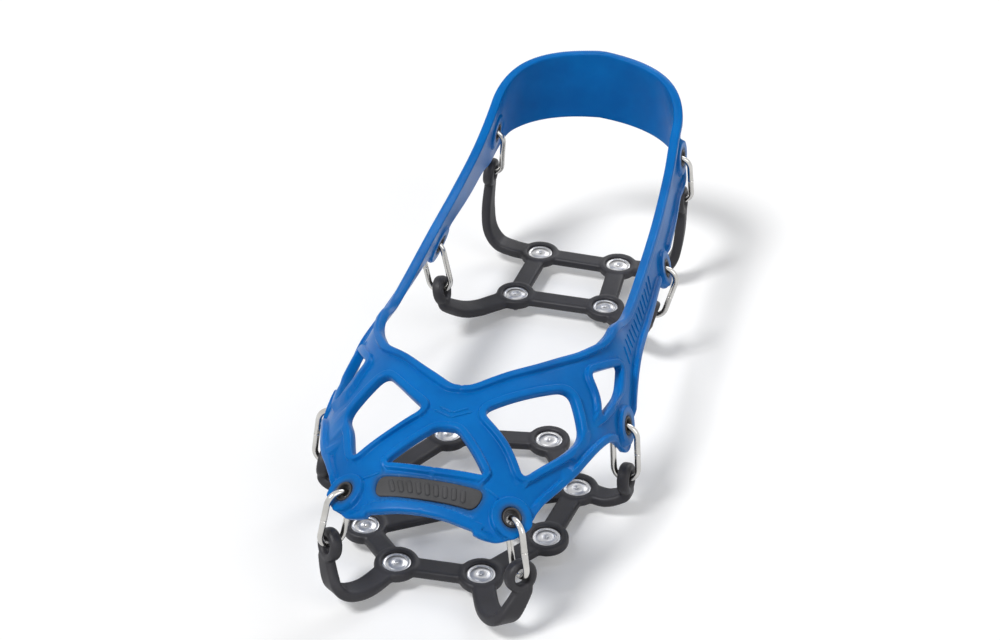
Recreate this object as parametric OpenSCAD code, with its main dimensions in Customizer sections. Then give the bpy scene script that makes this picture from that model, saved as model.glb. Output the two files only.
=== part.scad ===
// Ice cleats for a trail shoe: an elastomer harness that stretches over the toe box and
// round the heel, eight oval steel links, and two moulded traction mats with hard-tipped
// spikes under the sole. The harness keeps the shape that it takes when it is worn.
// +Z is up, +Y points from toe to heel, and the spike tips stand on Z = 0.

/* [Worn size] */
// Distance from the toe tip to the middle of the round of the heel
heel_centre_y = 262; // [255:1:266]
// Distance that the toe tip lies in front of the origin
toe_to_origin = 152.5; // [145:0.5:160]
// Half width of the harness where the foot is widest
ball_half_w = 56; // [54:0.5:58]
// How deep the round of the heel is, front to back
heel_depth = 29; // [26:1:31]
// Height of the sheet's edge datum over the ground
edge_datum_z = 22; // [21:0.5:23]
// How far the outer side's features lie further back than the inner side's, per mm of width
lasting_skew = 0.18; // [0.1:0.01:0.2]

/* [Harness] */
// Thickness of the harness sheet
sheet_t = 3.2; // [2.6:0.1:3.6]
// Radius of the round boss at each eyelet
boss_r = 7.4; // [7:0.1:7.8]
// Thickness of the boss
boss_t = 4.6; // [4.4:0.1:5]
// Chamfer round the boss
boss_edge = 0.9; // [0.6:0.1:1.2]
// Outer radius of the hard ring in an eyelet
insert_r = 4.5; // [4.3:0.1:4.8]
// Bore radius of the ring
insert_bore_r = 3; // [2.9:0.05:3.1]
// Thickness of the ring
insert_t = 5.2; // [5:0.1:5.6]
// Depth that the name plate is let into the front band
plate_depth = 1.6; // [1.2:0.1:2]
// Height that the name plate stands proud of the sheet
plate_proud = 0.6; // [0.4:0.1:0.8]

/* [Links] */
// Radius of the link wire
wire_r = 1.2; // [1.1:0.05:1.25]
// Distance between the wire's centre at the two ends of a link
link_len = 22.5; // [21.5:0.1:23]
// Distance between the two legs of a link, centre to centre
link_w = 9.6; // [9.4:0.1:10.2]

/* [Mats] */
// Thickness of the straps under the sole
strap_t = 3.8; // [3.4:0.1:4]
// Width of the straps under the sole
strap_w = 8.5; // [7:0.5:10]
// Height of the middle of the straps over the ground
strap_z = 7; // [6.8:0.1:8]
// Radius of the pod round each spike
pod_r = 8.5; // [8:0.1:9.5]
// Height of a pod
pod_h = 4.6; // [4.3:0.1:4.8]
// Width of the four arms of a mat
arm_w = 9; // [8:0.5:9.5]
// Thickness of the arms
arm_t = 4.2; // [4.1:0.05:4.3]
// Outer radius of the eye at the end of an arm
eye_r = 6.3; // [6:0.1:6.8]
// Radius of the hole in the eye
eye_hole_r = 3; // [2.9:0.05:3.2]
// Thickness of the eye
eye_t = 4.8; // [4.6:0.1:5]
// Length of an arm's straight neck, from the middle of the eye
neck_len = 8; // [7.6:0.1:8.4]
// Width of an arm's neck, where it leaves the eye
neck_w = 7; // [6:0.5:8]

/* [Spikes] */
// Radius of the spike body's shank
shank_r = 3.3; // [3:0.1:3.6]
// Radius of the spike body's flange
flange_r = 5.5; // [5:0.1:6]
// Height of the underside of the flange over the ground
flange_z = 6.9; // [6.7:0.1:7.1]
// Thickness of the flange
flange_t = 1.4; // [1.2:0.1:1.6]
// Radius of the hard tip
tip_r = 1.3; // [1.1:0.1:1.5]
// Length of the hard tip, from the ground to the bottom of its bore
tip_len = 4.5; // [4:0.1:4.8]
// Chamfer at the end of the tip
tip_edge = 0.5; // [0.3:0.1:0.6]
// Height of the spike body's nose over the ground, and radius of the nose
nose_z = 1.6; // [1.4:0.1:1.8]
nose_r = 2.3; // [2:0.1:2.5]
// Height over the ground where the nose has widened to the shank
shoulder_z = 3.4; // [3:0.1:3.8]

/* [Hidden] */
$fn = 48;
SIDES = ["r", "l"];
PLACES = ["toe", "ball", "arch", "heel"];
FORE_PODS = [[16, 40], [34, 62], [38, 92], [20, 122]];
HEEL_PODS = [[20, 222], [18, 256]];
EYELETS = [for (p = PLACES) for (s = SIDES) str(p, "_", s)];
SPIKES = concat([for (i = [1:4]) for (s = SIDES) str("fore_", i, "_", s)],
                [for (i = [1:2]) for (s = SIDES) str("heel_", i, "_", s)]);

// ---- the form that the worn harness follows ----

// Pattern coordinates: a runs from the toe round to the middle of the heel, and t is the
// angle down from the top of the foot. From BLEND_START to BLEND_END the arch of the toe box
// turns into the side band, whose upper edge is t = BAND_TOP and lower edge is t = BAND_LOW.
BLEND_START = 108;
BLEND_END = 130;
ARCH_END = 131;
BAND_TOP = 52;
BAND_LOW = 68;
HEEL_ARC = 54;
// Exponents of the arch's rounded square section, and of the band's turn round the heel
ARCH_POWER = 2.4;
HEEL_POWER = 0.85;
PATTERN_END = heel_centre_y + HEEL_ARC;

WIDTH = [[15, -25], [20, -20], [30, -13], [50, -6], [75, -1], [100, 0], [131, -2]];
HEIGHT = [[15, 23], [20, 27], [30, 32], [50, 39.5], [75, 46.5], [100, 52.3], [131, 62.3]];
TOP_X = [[120, 43.7], [150, 44], [184, 43.5], [212, 42.5], [240, 41], [262, 39.5], [316, 39.5]];
TOP_Z = [[120, 42], [135, 38], [150, 37.5], [184, 40], [212, 42.5], [240, 48], [262, 58],
         [285, 67], [316, 72]];
LOW_X = [[120, 52.5], [132, 52], [162, 50], [183, 48.5], [200, 47.5], [234, 45], [262, 42.5],
         [316, 42.5]];
LOW_Z = [[120, 26.5], [132, 25.5], [162, 24.5], [183, 25], [216, 25.5], [234, 26.5],
         [250, 30], [275, 35], [316, 40]];
SKEW = [[20, 0.15], [30, 0.2], [45, 0.5], [65, 1], [120, 1], [180, 0.55], [240, 0], [320, 0]];

function unit(v) = v / norm(v);
function smooth(u) = u * u * (3 - 2 * u);
// Value of a table at x, by a Catmull-Rom curve through its rows
function slope(table, i) =
    let (n = len(table) - 1, a = max(i - 1, 0), b = min(i + 1, n))
    (table[b][1] - table[a][1]) / (table[b][0] - table[a][0]);
function curve(table, x) =
    let (n = len(table) - 1,
         i = max([0, for (k = [0:n - 1]) if (x >= table[k][0]) k]),
         h = table[i + 1][0] - table[i][0],
         u = min(max((x - table[i][0]) / h, 0), 1),
         m0 = slope(table, i) * h, m1 = slope(table, i + 1) * h)
    (2 * u * u * u - 3 * u * u + 1) * table[i][1] + (u * u * u - 2 * u * u + u) * m0
    + (3 * u * u - 2 * u * u * u) * table[i + 1][1] + (u * u * u - u * u) * m1;

// Point of the toe box, whose cross-section is a rounded arch
function arch_point(a, t) =
    let (w = ball_half_w + curve(WIDTH, a), h = curve(HEIGHT, a),
         n = pow(pow(abs(sin(t)), ARCH_POWER) + pow(abs(cos(t)), ARCH_POWER), 1 / ARCH_POWER))
    [w * sin(t) / n, a, edge_datum_z + h * cos(t) / n];
// Point of the side band, which turns round the heel
function band_point(a, t) =
    let (v = (t - BAND_TOP) / (BAND_LOW - BAND_TOP),
         x = curve(TOP_X, a) * (1 - v) + curve(LOW_X, a) * v,
         z = curve(TOP_Z, a) * (1 - v) + curve(LOW_Z, a) * v,
         turn = 90 * max(a - heel_centre_y, 0) / HEEL_ARC)
    [x * pow(max(cos(turn), 0), HEEL_POWER), min(a, heel_centre_y) + heel_depth * sin(turn),
     edge_datum_z + z];
// Point of the sheet's middle surface, in the frame of the whole part
function form(a, t) =
    let (b = smooth(min(max((a - BLEND_START) / (BLEND_END - BLEND_START), 0), 1)), s = abs(t),
         p = b == 0 ? arch_point(a, s) : b == 1 ? band_point(a, s)
             : arch_point(min(a, ARCH_END), s) * (1 - b) + band_point(a, s) * b,
         x = t < 0 ? -p.x : p.x)
    place(x, p.y, p.z);
function place(x, a, z) = [x, a + lasting_skew * curve(SKEW, a) * x - toe_to_origin, z];
// Outward normal of the sheet
function normal(a, t) =
    unit(cross(form(a, t + 0.5) - form(a, t - 0.5), form(a + 0.5, t) - form(a - 0.5, t)));

// ---- outline of the right half of the harness, as a coarse net of points [a, t] ----

MIDLINE = [[22, 0], [37.5, 0], [53, 0], [62, 0], [72.8, 0]];
TOE_HALF = [
    [22, 9], [21.5, 18], [20.5, 27], [20, 35], [20.5, 43], [23.5, 49.5], [29.5, 51.5],
    [36.5, 50], [29, 41.8],
    // front band's rear edge, with the corners of the centre window and the large window
    [38, 9.5], [38.5, 20], [41, 28], [43.2, 36.5],
    // strut between the centre window and the large window
    [43.3, 14.3], [46.5, 21], [49.5, 28.3], [48.2, 8.7], [52, 14.3], [55.8, 20.2],
    [53, 3.2], [57.5, 7.6], [62.1, 12.2],
    // upper side of the large window
    [68, 19.5], [74, 27], [80, 34],
    // rear edge over the instep
    [75, 6.4], [80, 13.5], [85, 20], [91.5, 28], [98, 35], [103.5, 39], [109, 42], [119, 49]];
SIDE_HALF = [
    // lower side of the large window
    [51, 40], [58.5, 43], [66, 46], [74, 40.5],
    // small window
    [93.5, 43.5], [87.5, 48.5], [81.5, 53.5], [101, 49.5], [108, 55], [97, 58], [89, 56.5],
    // lower edge and the lobe at the ball of the foot
    [45, 54], [54, 57.5], [63, 59.5], [71, 61.5], [79, 66.5], [85.5, 76], [92.5, 82.5],
    [99, 79], [106, 73], [117, 69], [93, 71], [108, 63], [119.5, 59.5]];
// Stations along the side band, and the tab that carries the arch eyelet
BAND_A = [131, 144, 157, 170, 182, 191, 199, 207, 217, 229, 241, 252, 262, 271, 280, 289, 298, 307];
TAB = [[193.5, 75], [199, 77.5], [204.5, 75]];
BAND_HALF = concat([for (a = BAND_A) for (t = [52, 60, 68]) [a, t]], TAB);
HEEL_LINE = [for (t = [52, 60, 68]) [PATTERN_END, t]];

CENTRE = concat(MIDLINE, HEEL_LINE);
HALF = concat(TOE_HALF, SIDE_HALF, BAND_HALF);
C = len(CENTRE);
H = len(HALF);
T0 = C;
S0 = T0 + len(TOE_HALF);
B0 = S0 + len(SIDE_HALF);
PATTERN = concat(CENTRE, HALF, [for (p = HALF) [p[0], -p[1]]]);

TOE_FACES = concat(
    [[0, T0, T0 + 9, 1]],
    [for (f = [[0, 1, 10, 9], [1, 2, 11, 10], [2, 3, 12, 11], [3, 4, 5, 8], [8, 5, 6, 7],
               [3, 8, 7, 12], [10, 11, 14, 13], [11, 12, 15, 14], [13, 14, 17, 16],
               [14, 15, 18, 17], [16, 17, 20, 19], [17, 18, 21, 20], [21, 22, 26, 25],
               [22, 23, 27, 26], [23, 24, 28, 27]]) [for (k = f) T0 + k]],
    [[2, T0 + 19, T0 + 20, 3], [3, T0 + 20, T0 + 21, T0 + 25], [3, T0 + 25, 4]]);
// Corners that the toe net and the side net share: the large window's two lower ones
E3 = T0 + 24;
W4 = T0 + 12;
SIDE_FACES = concat(
    [[E3, S0 + 4, T0 + 29, T0 + 28], [S0 + 4, S0 + 7, T0 + 30, T0 + 29],
     [S0 + 7, S0 + 8, T0 + 31, T0 + 30], [E3, S0 + 3, S0 + 5, S0 + 4],
     [W4, T0 + 7, S0 + 11, S0], [S0 + 8, S0 + 22, T0 + 32, T0 + 31],
     [S0 + 22, S0 + 23, T0 + 32]],
    [for (f = [[3, 2, 6, 5], [0, 11, 12, 1], [1, 12, 13, 2], [2, 13, 14, 6], [6, 14, 15, 10],
               [10, 15, 16, 21], [21, 16, 17, 18], [10, 21, 18, 9], [9, 18, 19, 22],
               [9, 22, 8], [22, 19, 20, 23]]) [for (k = f) S0 + k]]);
BAND_ROWS = concat([[T0 + 32, S0 + 23, S0 + 20]],
                   [for (i = [0:len(BAND_A) - 1]) [for (k = [0:2]) B0 + 3 * i + k]], [[5, 6, 7]]);
TAB0 = B0 + 3 * len(BAND_A);
BAND_FACES = concat(
    [for (i = [0:len(BAND_ROWS) - 2]) for (k = [0, 1])
        [BAND_ROWS[i][k], BAND_ROWS[i][k + 1], BAND_ROWS[i + 1][k + 1], BAND_ROWS[i + 1][k]]],
    [[B0 + 17, TAB0, TAB0 + 1, B0 + 20], [B0 + 20, TAB0 + 1, TAB0 + 2, B0 + 23]]);
RIGHT_FACES = concat(TOE_FACES, SIDE_FACES, BAND_FACES);
function mirrored(f) = [for (i = [len(f) - 1:-1:0]) f[i] < C ? f[i] : f[i] + H];
FACES = concat(RIGHT_FACES, [for (f = RIGHT_FACES) mirrored(f)]);

// ---- eyelets, links and arms ----

// Pattern coordinates of the eyelets, and the direction in which each link hangs
EYELET_AT = [[29, 41.8], [93, 71], [199, 69.2], [262, 62]];
LINK_HANG = [[3.5, -4, -20.5], [2, -3.5, -19], [-6.4, -3.5, -24], [1.6, 2, -21]];
// Centre line of each arm under its neck, as [x, a, height over the middle of the straps]
ARM_PATHS = [
    [[33.2, 17.5, 6], [29, 18.5, 1.7], [23.5, 24, 0.1], [16, 40, 0]],
    [[55, 87.6, 1.6], [50, 88.3, 0], [45, 90, 0], [38, 92, 0]],
    [[38.5, 203, 3.6], [33.5, 209, 0.5], [28, 214.5, 0], [20, 222, 0]],
    [[43.9, 262, 18], [42.5, 260, 8], [38, 259, 1.6], [31, 258, 0], [18, 256, 0]]];
function side_x(side) = side == 0 ? 1 : -1;
function eyelet_point(i, side) = form(EYELET_AT[i][0], side_x(side) * EYELET_AT[i][1]);
function eyelet_normal(i, side) = normal(EYELET_AT[i][0], side_x(side) * EYELET_AT[i][1]);
// Direction in which a link hangs
function hang(i, side) =
    unit([side_x(side) * LINK_HANG[i].x, LINK_HANG[i].y, LINK_HANG[i].z]);
// Direction of the link's wire at its two ends, which is also the axis of the arm's eye
function link_pin(i, side) =
    let (n = eyelet_normal(i, side), d = hang(i, side)) unit(n - (n * d) * d);
// Top of a link: its round end turns until the wire runs square through the eyelet's bore
function link_top(i, side) =
    let (tilt = asin(-eyelet_normal(i, side) * hang(i, side)), r = link_w / 2)
    eyelet_point(i, side) + r * sin(tilt) * link_pin(i, side)
    - r * (1 - cos(tilt)) * hang(i, side);
function eye_point(i, side) = link_top(i, side) + link_len * hang(i, side);
// Matrix of a frame at origin, with its Z along one direction and its X near another
function frame_at(origin, along, across) =
    let (w = unit(along), u = unit(across - (across * w) * w), v = cross(w, u))
    [[u.x, v.x, w.x, origin.x], [u.y, v.y, w.y, origin.y], [u.z, v.z, w.z, origin.z],
     [0, 0, 0, 1]];

// ---- general shapes ----

module sheet(points, normals, faces, t) {
    n = len(points);
    edges = [for (f = faces) for (k = [0:len(f) - 1]) [f[k], f[(k + 1) % len(f)]]];
    keys = [for (e = edges) e[0] * 1000 + e[1]];
    twins = search([for (e = edges) e[1] * 1000 + e[0]], keys);
    rim = [for (k = [0:len(edges) - 1]) if (twins[k] == []) edges[k]];
    top = [for (f = faces) for (k = [1:len(f) - 2]) [f[0], f[k], f[k + 1]]];
    polyhedron(
        points = concat([for (i = [0:n - 1]) points[i] + normals[i] * t / 2],
                        [for (i = [0:n - 1]) points[i] - normals[i] * t / 2]),
        faces = concat([for (f = top) [f[2], f[1], f[0]]],
                       [for (f = top) [f[0] + n, f[1] + n, f[2] + n]],
                       [for (e = rim) [e[0], e[1], e[1] + n]],
                       [for (e = rim) [e[0], e[1] + n, e[0] + n]]));
}

// Flat strap with chamfered edges, swept along points. Its width grows from neck to w over
// its first rings, and lies near wide_first at its start and near wide_last at its end
module ribbon(path, wide_first, wide_last, neck, w, t) {
    n = len(path);
    c = t / 4;
    m = 8;
    points = [for (i = [0:n - 1])
        let (h = (neck + (w - neck) * min(i / 5, 1)) / 2,
             section = [[-h, -t / 2 + c], [c - h, -t / 2], [h - c, -t / 2], [h, -t / 2 + c],
                        [h, t / 2 - c], [h - c, t / 2], [c - h, t / 2], [-h, t / 2 - c]],
             along = unit(path[min(i + 1, n - 1)] - path[max(i - 1, 0)]),
             wide = wide_first * (1 - i / (n - 1)) + wide_last * i / (n - 1),
             b = unit(wide - (wide * along) * along), up = cross(along, b))
        for (s = section) path[i] + s[0] * b + s[1] * up];
    polyhedron(points = points, faces = concat(
        [[for (k = [0:m - 1]) k]], [[for (k = [m - 1:-1:0]) (n - 1) * m + k]],
        [for (i = [0:n - 2]) for (k = [0:m - 1])
            let (a = i * m + k, b = i * m + (k + 1) % m)
            for (f = [[a, a + m, b + m], [a, b + m, b]]) f]));
}

// Path through rough points, rounded by a Catmull-Rom curve with some steps per span
function rounded(path, steps) =
    let (n = len(path) - 1)
    concat([for (i = [0:n - 1]) for (k = [0:steps - 1])
        let (p0 = path[max(i - 1, 0)], p1 = path[i], p2 = path[i + 1], p3 = path[min(i + 2, n)],
             u = k / steps)
        0.5 * (2 * p1 + (p2 - p0) * u + (2 * p0 - 5 * p1 + 4 * p2 - p3) * u * u
               + (3 * p1 - p0 - 3 * p2 + p3) * u * u * u)], [path[n]]);

// ---- sub-parts ----

module at_eyelet(i, side) {
    multmatrix(frame_at(eyelet_point(i, side), eyelet_normal(i, side), [0, 1, 0])) children();
}

// Round boss with chamfered edges
module boss() {
    h = boss_t / 2;
    rotate_extrude() polygon([[0, -h], [boss_r - boss_edge, -h], [boss_r, boss_edge - h],
        [boss_r, h - boss_edge], [boss_r - boss_edge, h], [0, h]]);
}

module harness() {
    points = [for (p = PATTERN) form(p[0], p[1])];
    normals = [for (p = PATTERN) normal(min(p[0], PATTERN_END - 0.5), p[1])];
    color("royalblue") difference() {
        union() {
            sheet(points, [for (i = [0:len(normals) - 1])
                i >= 5 && i < C ? unit([0, normals[i].y, normals[i].z]) : normals[i]],
                FACES, sheet_t);
            for (i = [0:3]) for (s = [0, 1]) at_eyelet(i, s)
                boss();
        }
        for (i = [0:3]) for (s = [0, 1]) at_eyelet(i, s)
            cylinder(h = insert_t + 4, r = insert_r, center = true);
        name_plate_body();
    }
}

// Curved plate let into the outer face of the front band
PLATE_A = [25.2, 33.2];
PLATE_T = [for (k = [-4:4]) k * 6.6];
module name_plate_body() {
    n = len(PLATE_T);
    pattern = [for (a = PLATE_A) for (t = PLATE_T) [a, t]];
    normals = [for (p = pattern) normal(p[0], p[1])];
    middle = (sheet_t + plate_proud - plate_depth) / 2;
    points = [for (k = [0:2 * n - 1]) form(pattern[k][0], pattern[k][1]) + normals[k] * middle];
    sheet(points, normals, [for (k = [0:n - 2]) [k, k + 1, n + k + 1, n + k]],
          plate_depth + plate_proud);
}

module name_plate() {
    color("dimgray") name_plate_body();
}

module eyelet(i, side) {
    color("dimgray") at_eyelet(i, side) difference() {
        cylinder(h = insert_t, r = insert_r, center = true);
        cylinder(h = insert_t + 2, r = insert_bore_r, center = true);
    }
}

// Oval ring of wire: two straight legs and two half rings
module link(i, side) {
    color("silver") multmatrix(frame_at(link_top(i, side), -hang(i, side), link_pin(i, side))) {
        straight = link_len - link_w;
        for (x = [-1, 1])
            translate([x * link_w / 2, 0, -link_w / 2 - straight]) cylinder(h = straight, r = wire_r);
        for (end = [0, 1])
            translate([0, 0, -link_w / 2 - end * straight]) rotate([90, end * 180, 0])
                rotate_extrude(angle = 180) translate([link_w / 2, 0]) circle(r = wire_r);
    }
}

module strap2d(a, b, w) {
    d = b - a;
    translate((a + b) / 2) rotate(atan2(d.y, d.x)) square([norm(d), w], center = true);
}
function flat(x, a) = let (p = place(x, a, 0)) [p.x, p.y];
function pod_at(pods, i, side) = flat(side_x(side) * pods[i][0], pods[i][1]);

module pods_and_seats(pods) {
    for (i = [0:len(pods) - 1]) for (s = [0, 1])
        translate(concat(pod_at(pods, i, s), [strap_z])) children();
}

// How far outside the eye's rim the ribbon starts, inside the neck, and how much wider than
// the ribbon the neck is
RIBBON_START = 0.3;
NECK_EXTRA = 0.8;
module arm(i, side) {
    x = side_x(side);
    eye = eye_point(i, side);
    down = hang(i, side);
    path = concat([eye + down * (eye_r + RIBBON_START)],
                  [for (p = ARM_PATHS[i]) place(x * p[0], p[1], strap_z + p[2])]);
    wide = cross(link_pin(i, side), down);
    last = unit(path[len(path) - 1] - path[len(path) - 2]);
    ribbon(rounded(path, 3), wide.y < 0 ? -wide : wide, x * [last.y, -last.x, 0],
           neck_w, arm_w, arm_t);
    eye_frame(i, side) translate([0, 0, -eye_t / 2]) linear_extrude(eye_t) difference() {
        union() {
            circle(r = eye_r);
            translate([-neck_len / 2, 0]) square([neck_len, neck_w + NECK_EXTRA], center = true);
        }
        circle(r = eye_hole_r);
    }
}
module eye_frame(i, side) {
    multmatrix(frame_at(eye_point(i, side), link_pin(i, side), -hang(i, side))) children();
}

// A mat: pods joined by straps, with arms that carry an eye
module mat(pods, straps, arms) {
    color([0.16, 0.15, 0.18]) difference() {
        union() {
            translate([0, 0, strap_z - strap_t / 2]) linear_extrude(strap_t)
                for (s = straps) strap2d(s[0], s[1], strap_w);
            pods_and_seats(pods) cylinder(h = pod_h, r = pod_r, center = true);
            for (i = arms) for (s = [0, 1]) arm(i, s);
        }
        pods_and_seats(pods) cylinder(h = 20, r = shank_r, center = true);
        pods_and_seats(pods) translate([0, 0, flange_z - strap_z]) cylinder(h = 10, r = flange_r);
    }
}

// Forefoot mat, whose spokes meet at a hub on its middle line
FORE_HUB = 79;
module forefoot_mat() {
    rim = [for (i = [0:2]) for (s = [0, 1]) [pod_at(FORE_PODS, i, s), pod_at(FORE_PODS, i + 1, s)]];
    ties = [for (i = [0, 3]) [pod_at(FORE_PODS, i, 0), pod_at(FORE_PODS, i, 1)]];
    spokes = [for (i = [1, 2]) for (s = [0, 1]) [pod_at(FORE_PODS, i, s), flat(0, FORE_HUB)]];
    mat(FORE_PODS, concat(rim, ties, spokes), [0, 1]);
}

module heel_mat() {
    sides = [for (s = [0, 1]) [pod_at(HEEL_PODS, 0, s), pod_at(HEEL_PODS, 1, s)]];
    ties = [for (i = [0, 1]) [pod_at(HEEL_PODS, i, 0), pod_at(HEEL_PODS, i, 1)]];
    mat(HEEL_PODS, concat(sides, ties), [2, 3]);
}

// Turned spike body: flange in the mat, shank, and a nose bored for the tip
module spike_body(at) {
    color("gainsboro") translate(concat(at, [0])) difference() {
        rotate_extrude() polygon([[0, nose_z], [nose_r, nose_z], [shank_r, shoulder_z],
            [shank_r, flange_z], [flange_r, flange_z], [flange_r, flange_z + flange_t],
            [0, flange_z + flange_t]]);
        cylinder(h = tip_len, r = tip_r);
    }
}

module spike_tip(at) {
    color("slategray") translate(concat(at, [0]))
        rotate_extrude() polygon([[0, 0], [tip_r - tip_edge, 0], [tip_r, tip_edge],
            [tip_r, tip_len], [0, tip_len]]);
}

harness();
name_plate();
forefoot_mat();
heel_mat();
for (i = [0:3]) for (s = [0, 1]) {
    name = str(PLACES[i], "_", SIDES[s]);
    eyelet(i, s);
    link(i, s);
}
for (i = [0:5]) for (s = [0, 1]) {
    name = i < 4 ? str("fore_", i + 1, "_", SIDES[s]) : str("heel_", i - 3, "_", SIDES[s]);
    at = i < 4 ? pod_at(FORE_PODS, i, s) : pod_at(HEEL_PODS, i - 4, s);
    spike_body(at);
    spike_tip(at);
}
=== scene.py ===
# Pull-on ice cleats for one shoe: elastomer harness, steel links, spiked mats.
import math

import bpy
import numpy as np
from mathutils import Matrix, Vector, geometry, kdtree


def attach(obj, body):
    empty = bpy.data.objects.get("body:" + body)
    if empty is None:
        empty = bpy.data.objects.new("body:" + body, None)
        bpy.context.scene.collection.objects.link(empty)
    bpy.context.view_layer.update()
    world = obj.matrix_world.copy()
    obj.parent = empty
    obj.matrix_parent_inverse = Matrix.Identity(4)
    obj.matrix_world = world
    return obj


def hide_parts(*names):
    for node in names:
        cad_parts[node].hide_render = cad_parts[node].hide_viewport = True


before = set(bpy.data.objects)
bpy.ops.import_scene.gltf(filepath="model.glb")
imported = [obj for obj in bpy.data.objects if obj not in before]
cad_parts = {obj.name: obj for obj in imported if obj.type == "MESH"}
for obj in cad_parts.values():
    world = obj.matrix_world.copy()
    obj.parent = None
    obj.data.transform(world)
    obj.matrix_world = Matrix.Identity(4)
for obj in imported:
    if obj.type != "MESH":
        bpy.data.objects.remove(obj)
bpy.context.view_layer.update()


# ---------------------------------------------------------------------------
# Camera, floor and lamps. A long lens looks down on the toe from the front, and
# a pale floor meets a white surround. Three soft neutral suns light it evenly.
# ---------------------------------------------------------------------------
scene = bpy.context.scene
scene.view_settings.view_transform = "Standard"

view_turn, view_rise = math.radians(15.6), math.radians(35.0)
view_back = Vector((math.sin(view_turn) * math.cos(view_rise),
                    -math.cos(view_turn) * math.cos(view_rise), math.sin(view_rise)))
view_target, camera_distance = Vector((-0.0067, -0.004, 0.046)), 0.88
camera_data = bpy.data.cameras.new("camera")
camera_data.lens, camera_data.sensor_width = 79.2, 36.0
camera_data.clip_start = 0.01
camera = bpy.data.objects.new("camera", camera_data)
camera.location = view_target + camera_distance * view_back
camera.rotation_euler = view_back.to_track_quat("Z", "Y").to_euler()
scene.collection.objects.link(camera)
scene.camera = camera


def new_material(name):
    """A material with an empty node tree but for its output and one Principled shader."""
    material = bpy.data.materials.new(name)
    material.use_nodes = True
    nodes = material.node_tree.nodes
    nodes.clear()
    output = nodes.new("ShaderNodeOutputMaterial")
    shader = nodes.new("ShaderNodeBsdfPrincipled")
    material.node_tree.links.new(shader.outputs[0], output.inputs["Surface"])
    return material, shader


def add_mesh(name, verts, faces, material, smooth=True):
    """A mesh object from vertices in metres."""
    mesh = bpy.data.meshes.new(name)
    mesh.from_pydata([tuple(v) for v in verts], [], [tuple(f) for f in faces])
    mesh.validate()
    mesh.polygons.foreach_set("use_smooth", [smooth] * len(mesh.polygons))
    mesh.materials.append(material)
    obj = bpy.data.objects.new(name, mesh)
    scene.collection.objects.link(obj)
    return obj


def ray_strength(material, kinds, low, high):
    """A strength that is high for some kinds of ray and low for the rest."""
    nodes, links = material.node_tree.nodes, material.node_tree.links
    ray, value = nodes.new("ShaderNodeLightPath"), None
    for kind in kinds:
        if value is None:
            value = ray.outputs[kind]
        else:
            either = nodes.new("ShaderNodeMath")
            either.operation = "MAXIMUM"
            links.new(value, either.inputs[0])
            links.new(ray.outputs[kind], either.inputs[1])
            value = either.outputs[0]
    scaled = nodes.new("ShaderNodeMapRange")
    scaled.inputs["To Min"].default_value, scaled.inputs["To Max"].default_value = low, high
    links.new(value, scaled.inputs["Value"])
    return scaled.outputs["Result"]


shown_to = ("Is Camera Ray", "Is Glossy Ray", "Is Transmission Ray")
floor_material, floor_shader = new_material("studio_floor")
floor_shader.inputs["Base Color"].default_value = (0.8, 0.8, 0.8, 1)
floor_shader.inputs["Roughness"].default_value = 0.8
floor_shader.inputs["Specular IOR Level"].default_value = 0.0
floor_shader.inputs["Emission Color"].default_value = (1, 1, 1, 1)
floor_glow = ray_strength(floor_material, shown_to, 0.0, 0.2)
floor_material.node_tree.links.new(floor_glow, floor_shader.inputs["Emission Strength"])
floor_half = 3.0
floor = add_mesh("studio_floor_plane", [(-floor_half, -floor_half, 0), (floor_half, -floor_half, 0),
                                        (floor_half, floor_half, 0), (-floor_half, floor_half, 0)],
                 [(0, 1, 2, 3)], floor_material)

world = bpy.data.worlds.new("studio")
scene.world = world
world.use_nodes = True
background = world.node_tree.nodes["Background"]
background.inputs["Color"].default_value = (1, 1, 1, 1)
world.node_tree.links.new(ray_strength(world, shown_to, 0.24, 1.0), background.inputs["Strength"])

for lamp_name, turn, rise, spread, strength in (("key", -40, 58, 16, 2.15), ("fill", 60, 35, 40, 0.5),
                                                ("back", 165, 40, 30, 0.7)):
    lamp_data = bpy.data.lights.new(lamp_name, "SUN")
    lamp_data.angle, lamp_data.energy = math.radians(spread), strength
    lamp = bpy.data.objects.new(lamp_name, lamp_data)
    turn, rise = math.radians(turn), math.radians(rise)
    to_lamp = Vector((math.sin(turn) * math.cos(rise), -math.cos(turn) * math.cos(rise), math.sin(rise)))
    lamp.rotation_euler = to_lamp.to_track_quat("Z", "Y").to_euler()
    scene.collection.objects.link(lamp)


# ---------------------------------------------------------------------------
# Harness. One piece of blue thermoplastic elastomer, injection moulded flat and
# stretched over the toe box and round the heel. Its windows and outer edges have
# raised rims, and a round boss stands round each of its eight eyelets.
# ---------------------------------------------------------------------------
# Sizes are in millimetres, on a pattern: a runs from the toe round to the middle of
# the heel, and t is the angle down from the top of the foot.
MM = 0.001
toe_to_origin, edge_datum_z, lasting_skew = 152.5, 22.0, 0.18
ball_half_w, heel_centre_a, heel_depth, heel_arc = 56.0, 262.0, 29.0, 54.0
pattern_end = heel_centre_a + heel_arc
# Where the arch over the toe box ends, and where it turns into the side bands
arch_end, blend_start, blend_end = 131, 108, 130
arch_power, heel_power = 2.4, 0.85
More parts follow.
